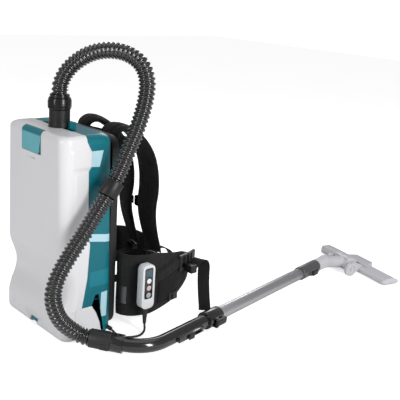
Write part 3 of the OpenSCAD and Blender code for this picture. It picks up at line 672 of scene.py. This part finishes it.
steel = Finish("zinc_steel", (0.58, 0.58, 0.60), 0.28, Metallic=1.0)
steel.moulded(600, 0.00002, 0.15, 0.2)
rubber = Finish("seal_rubber", (0.022, 0.022, 0.023), 0.72).moulded(800, 0.00004, 0.25)
black = Finish("black_plastic", (0.009, 0.009, 0.010), 0.42, Specular_IOR_Level=0.4)
black.moulded(1100, 0.00006, 0.3, 0.12)
grey = Finish("grey_plastic", (0.40, 0.41, 0.43), 0.42).moulded(900, 0.00005, 0.1)
for node in ("latch_pin", "hinge_pin", "housing_screws"):
    refined(node, steel, 0.25)
for node in ("cover_gasket", "motor_ring"):
    refined(node, rubber, 0.5)
for node in ("side_cover_left", "side_cover_right"):
    refined(node, white, 1.6, 3)
for node in ("motor_unit", "battery_left", "battery_right"):
    refined(node, black, 1.2, 3)
refined("filter_frame", grey, 1.0)

card = Finish("pressed_card", (0.44, 0.31, 0.17), 0.85).moulded(260, 0.0002, 0.3)
refined("bag_holder", card, 0.4)
fleece = Finish("bag_fleece", (0.60, 0.53, 0.42), 0.95, Sheen_Weight=0.3).moulded(320, 0.0005, 0.25)
bag = refined("dust_bag", fleece, 4, 3)
media = Finish("filter_media", (0.78, 0.78, 0.73), 0.9).moulded(500, 0.0002, 0.12)
refined("hepa_filter", media, 0.2)
board = Finish("circuit_board", (0.006, 0.09, 0.03), 0.4, Coat_Weight=0.5).moulded(200, 0.0001, 0.5)
refined("controller_board", board, 0.4)
brass = Finish("terminal_brass", (0.62, 0.42, 0.14), 0.3, Metallic=1.0).moulded(400, 0.00003, 0.2)
refined("battery_terminals", brass, 0.3)

# ---------- latch ----------
# One moulding in two teals, flush with the cover. Its pale face turns into a
# darker lip that wraps over the top edge for the fingers.

lip = [(-75.4, z) for z in spread(LATCH_Z - 7, 516, 16)]
lip += [(-61 - 14.4 * math.cos(math.radians(9 * k)), 516 + 14.4 * math.sin(math.radians(9 * k)))
        for k in range(1, 11)]
rows = []
for i, (ly, lz) in enumerate(lip):
    low = LATCH_Z - 7
    left = LEFT + 5 * (1 - min(1, (lz - low) / 7)) ** 2
    right = RIGHT - 9 * (1 - eased(low, low + 46, lz)) - 3 * (1 - min(1, (lz - low) / 4)) ** 2
    rows.append([(x, ly, lz) for x in spread(left, right, 24)])
latch = solid("latch_plate", *skin(rows, closed=False, caps=False))
add_modifier(latch, "SOLIDIFY", thickness=4 * MM, offset=-1)
settle(latch)
barrel = drum((LEFT, -70, LATCH_Z), (RIGHT - 10, -70, LATCH_Z), 5)
carve(latch, barrel, operation="UNION")
carve(latch, drum((LEFT - 5, -70, LATCH_Z), (RIGHT + 5, -70, LATCH_Z), 2.05))
latch_teal = Finish("latch_teal", (0.10, 0.40, 0.47), 0.32, Coat_Weight=0.1)
latch_teal.moulded(900, 0.00004, 0.1)
lz = latch_teal.xyz()[2] * 1000
share = latch_teal.node("MapRange", {"interpolation_type": "SMOOTHSTEP"}, {
    "Value": lz, "From Min": 515.0, "From Max": 519.0})
face = latch_teal.mix(latch_teal.speckle(30, 4), (0.09, 0.36, 0.42), (0.13, 0.45, 0.52))
latch_teal.set("Base Color", latch_teal.mix(share, face, (0.0, 0.17, 0.21)))
fit(softened(latch, 0.7), latch_teal, "cover_latch")
key_teal = Finish("key_teal", (0.0, 0.18, 0.24), 0.35).moulded(900, 0.00004, 0.1)
for node in ("battery_button_left", "battery_button_right"):
    refined(node, key_teal, 0.6)

# ---------- hose inlet ----------
# Fixed black tube, the knurled collar that locks the hose to it, and the smooth
# cuff at the hose's end.


def lathe(name, profile, base, ahead=(0, 0, 1), sides=64):
    """Turned piece. profile is (distance along the axis, radius), closed into a ring."""
    ahead = Vector(ahead).normalized()
    u = ahead.orthogonal().normalized()
    v = ahead.cross(u)
    rings = []
    for k in range(sides):
        a = 2 * math.pi * k / sides
        out = math.cos(a) * u + math.sin(a) * v
        rings.append([Vector(base) + ahead * t + out * r for t, r in profile])
    n = len(profile)
    points = [p for ring in rings for p in ring]
    faces = []
    for k in range(sides):
        m = (k + 1) % sides
        faces += [
            (k * n + i, k * n + (i + 1) % n, m * n + (i + 1) % n, m * n + i) for i in range(n)]
    return solid(name, points, faces)


flange = lathe("inlet_tube", [
    (-31, 17.5), (44, 17.5), (44, 25.4), (43, 26.4), (10.5, 26.4), (10, 27.4), (0, 27.8),
    (0, 19.7), (-31, 19.7)], (0, 0, PACK_H))
fit(softened(flange, 0.6), black, "inlet_flange")
collar_profile = [(0, 24), (0, 27), (1.5, 28.5), (6, 28.5), (7, 27.4), (8, 28.5), (27, 28.5),
                  (29, 27), (29, 24)]
collar = lathe("inlet_ring", collar_profile, (0, 0, 574.4), sides=96)
lugs = []
for i in range(6):
    turn = Matrix.Rotation(math.radians(60 * i + 15), 3, "Z")
    tool = brick((26.5, -4, 577.4), (30, 4, 597.4))
    tool.data.transform(turn.to_4x4())
    lugs.append(tool)
carve(collar, *lugs, operation="UNION")
inlet_black = Finish("inlet_black", (0.007, 0.007, 0.008), 0.24, Specular_IOR_Level=0.4)
inlet_black.moulded(900, 0.00003, 0.2, 0.1)
fit(softened(collar, 0.8, 3), inlet_black, "inlet_collar")
cuff = lathe("hose_cuff", [
    (0, 18.6), (0, 22.6), (1, 23.3), (29.8, 23.3), (30.2, 25), (31, 25.2), (33, 24.4), (35, 25.2),
    (37, 24.4), (38, 24.4), (38, 18.6)], (0, 0, 574))
fit(softened(cuff, 0.4), inlet_black, "inlet_cuff")

# ---------- back frame and back pad ----------
# Dished black plastic frame between the shell and the wearer, with a foam pad
# covered in spacer mesh.

back = refined("back_frame", black, 2.0, 3)


def cloth_black(name, mesh_size=1.5, dark=0.004, pale=0.011):
    """Black polyester: a woven or knitted surface with a slow change of shade."""
    cloth = Finish(
        name, (dark, dark, dark * 1.05), 0.85, Sheen_Weight=0.05, Specular_IOR_Level=0.25)
    px, py, pz = cloth.xyz()
    turn = 2 * math.pi / (mesh_size * MM)
    weave = (px * turn).wave() * (pz * turn).wave() + 0.6 * (py * turn).wave()
    patch = cloth.speckle(34, 5)
    cloth.set("Base Color", cloth.mix(patch, (dark,) * 3, (pale, pale, pale * 1.06)))
    cloth.set("Roughness", 0.72 + 0.2 * cloth.speckle(60, 4))
    cloth.bump(weave * 0.35 + cloth.speckle(420, 4) + 16 * cloth.speckle(24, 4), 0.0005)
    return cloth


pad_black = cloth_black("pad_fabric")
mesh_black = cloth_black("spacer_mesh", 3.2, 0.006, 0.022)
ACROSS = [-1, -0.985, -0.965, -0.945, -0.925, -0.905, *[k / 14 for k in range(-12, 13)],
          0.905, 0.925, 0.945, 0.965, 0.985, 1]


def padded_strip(name, line, width_axis, width, thick, offset=None, bound=0.91, tape=1.8, lump=0.7):
    """Quilted strip along a line: foam between two bound edges. width and thick give a
    size at each share of the way, offset the middle's shift along width_axis."""
    axis = Vector(width_axis)
    rings = []
    for i, p in enumerate(line):
        s = i / (len(line) - 1)
        ahead = (line[min(i + 1, len(line) - 1)] - line[max(i - 1, 0)]).normalized()
        out = ahead.cross(axis).normalized()
        w, t = width(s) / 2, thick(s) / 2
        middle = p + axis * (offset(s) if offset else 0)
        closing = min(1.0, 0.3 + 0.7 * (1 - abs(2 * s - 1) ** 30))
        top, bottom = [], []
        for u in ACROSS:
            bulge = max(0, 1 - (abs(u) / bound) ** 4) ** 0.55
            bead = max(0, 1 - ((abs(u) - 0.955) / 0.045) ** 2) ** 0.5
            h = (tape + 1.1 * bead + (t - tape) * bulge) * closing
            spot = middle + axis * (w * u)
            wrinkle = lump * noise.noise(spot * 0.03) * bulge
            top.append(spot + out * (h + wrinkle))
            bottom.append(spot - out * (h - wrinkle))
        rings.append(top + bottom[::-1])
    return solid(name, *skin(rings))


pad_low, pad_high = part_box("back_pad")
pad_line = even([
    Vector((0, 109, pad_low.z / MM + 1)), Vector((0, 109, pad_high.z / MM - 1))], 4)
back_pad = padded_strip(
    "back_cushion", pad_line, (1, 0, 0), lambda s: 202 - 44 * (2 * abs(s - 0.5)) ** 6,
    lambda s: 22 + 1.5 * math.cos(6 * math.pi * s), bound=0.93, lump=1.2)
fit(back_pad, mesh_black, "back_pad")

# ---------- shoulder straps ----------
# Foam straps in black polyester with bound edges. They rise from the back frame,
# go over the shoulders and end in webbing. The left one hangs turned inwards.

STRAP_LINE = [
    (107, 462), (106, 498), (112, 522), (134, 532), (164, 522), (198, 494), (226, 452),
    (241, 400), (244, 350), (240, 308), (243, 268), (253, 226), (264, 192), (272, 166),
]
STRAP_X, STRAP_W, STRAP_T = 68, 84, 16
SWING = math.radians(12)


def swung(point, side):
    """Turns a point of the left strap inwards about the strap's inner edge."""
    if side > 0:
        return Vector(point)
    edge = Vector((STRAP_W / 2 - STRAP_X, 107, 0))
    return Matrix.Rotation(-SWING, 3, "Z") @ (Vector(point) - edge) + edge


for side, word in ((-1, "left"), (1, "right")):
    line = even([swung(p, side) for p in smooth(
        [(side * STRAP_X, y, z) for y, z in STRAP_LINE], 8)], 4)
    axis = Matrix.Rotation(-SWING if side < 0 else 0, 3, "Z") @ Vector((1, 0, 0))
    strap = padded_strip(
        f"strap_{word}", line, axis,
        lambda s: STRAP_W * (1 - 0.12 * (1 - eased(0.05, 0.3, s)) - 0.2 * eased(0.6, 1.0, s)),
        lambda s: STRAP_T - 2 * eased(0.7, 1, s) + 0.8 * math.sin(40 * s), lump=1.0)
    fit(strap, pad_black, f"shoulder_strap_{word}")
    # flat tape stitched down the middle of the strap
    for face, start, end in ((1, 0.05, 0.97),):
        count = len(line) - 1
        part = line[round(start * count):round(end * count)]
        rings = []
        for i, p in enumerate(part):
            ahead = (part[min(i + 1, len(part) - 1)] - part[max(i - 1, 0)]).normalized()
            out = ahead.cross(axis).normalized() * -face
            rings.append([
                p + out * (STRAP_T / 2 - 0.6 + h) + axis * u
                for u, h in ((-13, 0), (-13, 1.2), (-12, 1.7), (-5, 1.9), (5, 1.9), (12, 1.7),
                             (13, 1.2), (13, 0))])
        tape = solid(f"strap_{word}_tape_{'front' if face > 0 else 'rear'}", *skin(rings))
        fit(tape, pad_black, body="root", slot="webbing")

yoke_line = even([Vector((0, 142, 452)), Vector((0, 142, 506))], 3)
yoke = padded_strip(
    "shoulder_yoke", yoke_line, (1, 0, 0),
    lambda s: 212 - 14 * s, lambda s: 58 - 16 * s, bound=0.95)
fit(yoke, pad_black, body="root", slot="pad_fabric")

# ---------- hip belt ----------
# Two foam wings that wrap the hips, each sewn to the back frame. A second pad and
# a strap lie over the right wing and carry the buckle that closes the belt.

BELT_T = 18
BELTS = {
    "right": [(120, 108), (142, 115), (162, 133), (174, 166), (178, 210), (174, 256),
              (162, 300), (150, 330)],
    "left": [(-120, 108), (-142, 118), (-154, 150), (-156, 196), (-142, 250), (-106, 291),
             (-58, 311), (-8, 313)],
}
BELT_TOP = {"right": [(60, 206), (200, 204), (296, 186), (360, 160)],
            "left": [(60, 184), (200, 180), (296, 184), (360, 160)]}
BELT_LOW = [(60, 30), (180, 34), (250, 52), (300, 78), (360, 122)]


def along(table, y):
    """Height of an outline at y."""
    for (y0, z0), (y1, z1) in zip(table, table[1:]):
        if y <= y1:
            return z0 + (z1 - z0) * (y - y0) / (y1 - y0)
    return table[-1][1]


for word, route in BELTS.items():
    line = even(smooth([(x, y, 0) for x, y in route], 8), 4)
    top = [along(BELT_TOP[word], p.y) for p in line]
    low = [along(BELT_LOW, p.y) for p in line]

    def at(values, s):
        return values[round(s * (len(values) - 1))]

    wing = padded_strip(
        f"belt_{word}", line, (0, 0, 1), lambda s: at(top, s) - at(low, s), lambda s: BELT_T - 1,
        offset=lambda s: (at(top, s) + at(low, s)) / 2, bound=0.95, lump=1.4)
    fit(wing, mesh_black if word == "right" else pad_black, f"belt_wing_{word}")

right_wing = smooth([(x, y, 0) for x, y in BELTS["right"]], 8)


def on_wing(y, z, lift):
    """Point that stands lift outside the right wing's face."""
    k = min(range(1, len(right_wing) - 1), key=lambda i: abs(right_wing[i].y - y))
    ahead = (right_wing[k + 1] - right_wing[k - 1]).normalized()
    out = ahead.cross(Vector((0, 0, 1)))
    base = right_wing[k] + ahead * ((y - right_wing[k].y) / max(0.3, ahead.y))
    return base + out * (BELT_T / 2 + lift) + Vector((0, 0, z))


def belt_patch(name, low_edge, high_edge, thick, finish, bound=0.86):
    """Padded patch sewn on the right wing between two lines of (y, z) points."""
    low_line = even(smooth([(0, *q) for q in low_edge], 8), 6)
    count = len(low_line) - 1
    high_full = smooth([(0, *q) for q in high_edge], 8)
    high_line = even(high_full, length_of(high_full) / count)[:count + 1]
    rings = []
    for i, (a, b) in enumerate(zip(low_line, high_line)):
        end = min(1.0, 0.35 + 0.65 * (1 - abs(2 * i / count - 1) ** 14))
        outer, inner = [], []
        for u in ACROSS:
            q = a + (b - a) * (0.5 + 0.5 * u)
            bulge = max(0, 1 - (abs(u) / bound) ** 4) ** 0.55
            bead = max(0, 1 - ((abs(u) - 0.955) / 0.045) ** 2) ** 0.5
            outer.append(on_wing(q.y, q.z, (1.5 + 1.2 * bead + thick * bulge) * end - 1))
            inner.append(on_wing(q.y, q.z, -2.5))
        rings.append(outer + inner[::-1])
    patch = solid(name, *skin(rings))
    fit(patch, finish, body="root", slot="pad_fabric")
    return patch


over_pad = belt_patch(
    "belt_over_pad", [(196, 62), (228, 66), (262, 84), (296, 108), (318, 128)],
    [(196, 150), (228, 158), (262, 168), (296, 174), (318, 168)], 4.5, pad_black)
belt_strap = belt_patch(
    "belt_over_strap", [(180, 118), (220, 132), (262, 146), (300, 154), (322, 150)],
    [(180, 150), (220, 168), (262, 180), (300, 182), (322, 172)], 7.5, mesh_black, 0.8)
grey_tab = belt_patch(
    "belt_tab", [(112, 70), (121, 70)], [(112, 118), (121, 118)], 1.0,
    Finish("tab_grey", (0.10, 0.10, 0.105), 0.5).moulded(700, 0.00004, 0.4))

# ---------- webbing and buckles ----------
# Woven polyester bands and moulded buckles. The belt's long tail hangs from its
# buckle to the floor.

WEB_W, WEB_T = 30, 2.4
webbing_black = Finish("webbing", (0.006, 0.006, 0.007), 0.7, Specular_IOR_Level=0.3)
wx, _, wz = webbing_black.xyz()
cord_rows = (wx * 3600).wave()
webbing_black.bump(
    cord_rows * 0.6 + 0.5 * (wz * 2400).wave() + webbing_black.speckle(700, 2), 0.0003)
webbing_black.set("Base Color", webbing_black.mix(
    webbing_black.speckle(60, 3), (0.004, 0.004, 0.005), (0.010, 0.010, 0.011)))


def band(name, route, x0, side=1, twist=0, width=WEB_W, thick=WEB_T):
    """Flat band of webbing along a (y, z) line, from x0 across, turning by twist."""
    line = even([swung(p, side) for p in smooth(
        [(x0 + width / 2, y, z) for y, z in route], 8)], 3)
    rings = []
    for i, p in enumerate(line):
        ahead = (line[min(i + 1, len(line) - 1)] - line[max(i - 1, 0)]).normalized()
        share = eased(0, 0.35, i / (len(line) - 1))
        across = Matrix.Rotation(math.radians(twist) * share, 3, "Z") @ Vector((1, 0, 0))
        across = (across - ahead * across.dot(ahead)).normalized()
        out = ahead.cross(across)
        ring = []
        for k in range(24):
            a = 2 * math.pi * k / 24
            u = math.copysign(abs(math.cos(a)) ** 0.25, math.cos(a)) * width / 2
            h = math.copysign(abs(math.sin(a)) ** 0.5, math.sin(a)) * thick / 2
            ring.append(p + across * u + out * h)
        rings.append(ring)
    return solid(name, *skin(rings))


TAIL = [(306, 150), (314, 160), (326, 167), (340, 163), (348, 146), (349, 120), (351, 90),
        (356, 50), (361, 20), (363, 4)]
SHORT_TAIL = [(311, 150), (336, 148), (366, 132), (384, 100), (386, 60), (384, 16)]
PULL = [(100, 96), (157, 110), (217, 126), (260, 138)]
tail = band("belt_tail", TAIL, 183, twist=38, width=34)
short_tail = band("belt_tail_left", SHORT_TAIL, 7)
fit(tail, webbing_black, "belt_webbing")
fit(short_tail, webbing_black, body="root", slot="webbing")
fit(band("strap_pull_right", PULL, STRAP_X - WEB_W / 2), webbing_black, "strap_webbing")
fit(band("strap_pull_left", PULL, -STRAP_X - WEB_W / 2, side=-1), webbing_black,
    body="root", slot="webbing")
refined("sternum_strap", webbing_black, 0.5)
for node in ("strap_buckles", "sternum_buckle", "belt_buckles"):
    refined(node, black, 1.2, 3)
buckle_grey = Finish("buckle_grey", (0.035, 0.035, 0.037), 0.38).moulded(900, 0.00005, 0.25)


def on_belt_plate(name, corners, low, high):
    """Small curved plate that lies on the right wing between two heights off its face."""
    (y0, z0), (y1, z1) = corners
    rings = []
    for y in spread(y0, y1, 8):
        rings.append([on_wing(y, z, h) for z, h in (
            (z0, low), (z1, low), (z1, high - 1), (z1 - 1, high), (z0 + 1, high), (z0, high - 1))])
    return solid(name, *skin(rings), flat=True)


frame_bars = [on_belt_plate(f"ladder_{i}", q, 6.5, h) for i, (q, h) in enumerate([
    (((262, 142), (269, 186)), 13), (((280, 142), (286, 186)), 14.5),
    (((297, 142), (303, 186)), 14.5), (((314, 140), (330, 184)), 13),
    (((262, 142), (330, 148)), 12), (((262, 180), (330, 186)), 12)])]
ladder = carve(frame_bars[0], *frame_bars[1:], operation="UNION")
fit(softened(ladder, 1.0), buckle_grey, body="root", slot="black_plastic")
side_lock = carve(
    on_belt_plate("side_lock", ((232, 62), (262, 84)), -1, 7),
    on_belt_plate("side_lock_bar", ((240, 66), (247, 80)), 5, 12), operation="UNION")
fit(softened(side_lock, 1.0), buckle_grey, body="root", slot="black_plastic")
refined("hose_holder", black, 0.8)

# ---------- handset ----------
# Two-part grey case on the belt with a dark panel, a display window and three
# round buttons. A tapered rubber sleeve guides the cable out of its foot.

case_grey = Finish("case_grey", (0.70, 0.71, 0.73), 0.42).moulded(900, 0.00004, 0.06)
refined("handset_body", case_grey, 3.0, 4)
panel_dark = Finish("panel_dark", (0.012, 0.014, 0.018), 0.15, Coat_Weight=0.5)
ppy, ppz = panel_dark.xyz()[1] * 1000, panel_dark.xyz()[2] * 1000
display = window(ppz, 158, 180) * window(ppy, 133, 153)
segments = display * ((ppz * 1.6).wave() > 0.2)
panel_dark.set("Base Color", panel_dark.mix(segments, (0.012, 0.014, 0.018), (0.06, 0.16, 0.24)))
panel_dark.set("Roughness", 0.14 + 0.1 * panel_dark.speckle(90, 3))
refined("handset_panel", panel_dark, 0.3)
key_white = Finish("key_white", (0.78, 0.80, 0.81), 0.3).moulded(900, 0.00003, 0.05)
key_rose = Finish("key_rose", (0.60, 0.45, 0.44), 0.3).moulded(900, 0.00003, 0.05)
refined("button_power", key_white, 0.4)
refined("button_mode", key_rose, 0.4)
refined("button_eco", grey, 0.4)
refined("handset_clip", black, 1.0)
refined("handset_grommet", rubber, 0.3)
refined("cable_gland", rubber, 0.3)

# ---------- grip ----------
# Glossy black bent tube with the hose's swivel cuff at one end and the pipe's
# clamp at the other. The suction slider sits in a raised slot.

grip_gloss = Finish("grip_gloss", (0.009, 0.009, 0.010), 0.16, Coat_Weight=0.6, Coat_Roughness=0.06)
grip_gloss.moulded(300, 0.00002, 0.2, 0.08)
refined("grip", grip_gloss, 0.8, 3, merge=0.02)
cuff_black = Finish("cuff_rubber", (0.015, 0.015, 0.016), 0.5).moulded(700, 0.00005, 0.2)
refined("hose_swivel", cuff_black, 0.8, 3)
for node in ("suction_slider", "clamp_lever", "lock_slider"):
    refined(node, black, 0.9, 3)

# ---------- pipe and lock sleeve ----------
# Drawn and brushed aluminium tubes that slide in each other, held by a dark
# metallic sleeve with a sliding lock.

brushed = Finish("brushed_pipe", (0.40, 0.40, 0.42), 0.30, Metallic=0.9)
bx, by, bz = brushed.xyz()
YAW = math.radians(10)
lengthwise = by * math.cos(YAW) - bx * math.sin(YAW)
across = bx * math.cos(YAW) + by * math.sin(YAW)
stretched = brushed.node("CombineXYZ", inputs={0: across * 60, 1: lengthwise * 1.2, 2: bz * 60})
streaks = brushed.speckle(22, 4, stretched)
brushed.set("Base Color", brushed.mix(streaks, (0.36, 0.36, 0.38), (0.54, 0.54, 0.56)))
brushed.set("Roughness", 0.26 + 0.2 * streaks)
brushed.bump(streaks, 0.00004)
for node in ("outer_pipe", "inner_pipe"):
    refined(node, brushed, 0.4)
sleeve_metal = Finish("sleeve_metal", (0.15, 0.15, 0.16), 0.34, Metallic=0.7)
sleeve_metal.moulded(900, 0.00004, 0.1)
refined("lock_sleeve", sleeve_metal, 1.0, 3)

# ---------- floor nozzle ----------
# Pale grey moulding that tips on a swivelling neck. A dark sole closes it from
# below, and two wheels carry it.

nozzle_grey = Finish("nozzle_grey", (0.52, 0.52, 0.55), 0.38).moulded(900, 0.00005, 0.06)
for node in ("nozzle_neck", "nozzle_head"):
    refined(node, nozzle_grey, 1.6, 3)
refined("nozzle_sole", black, 0.5)
for node in ("wheel_left", "wheel_right"):
    refined(node, nozzle_grey, 1.0, 3)
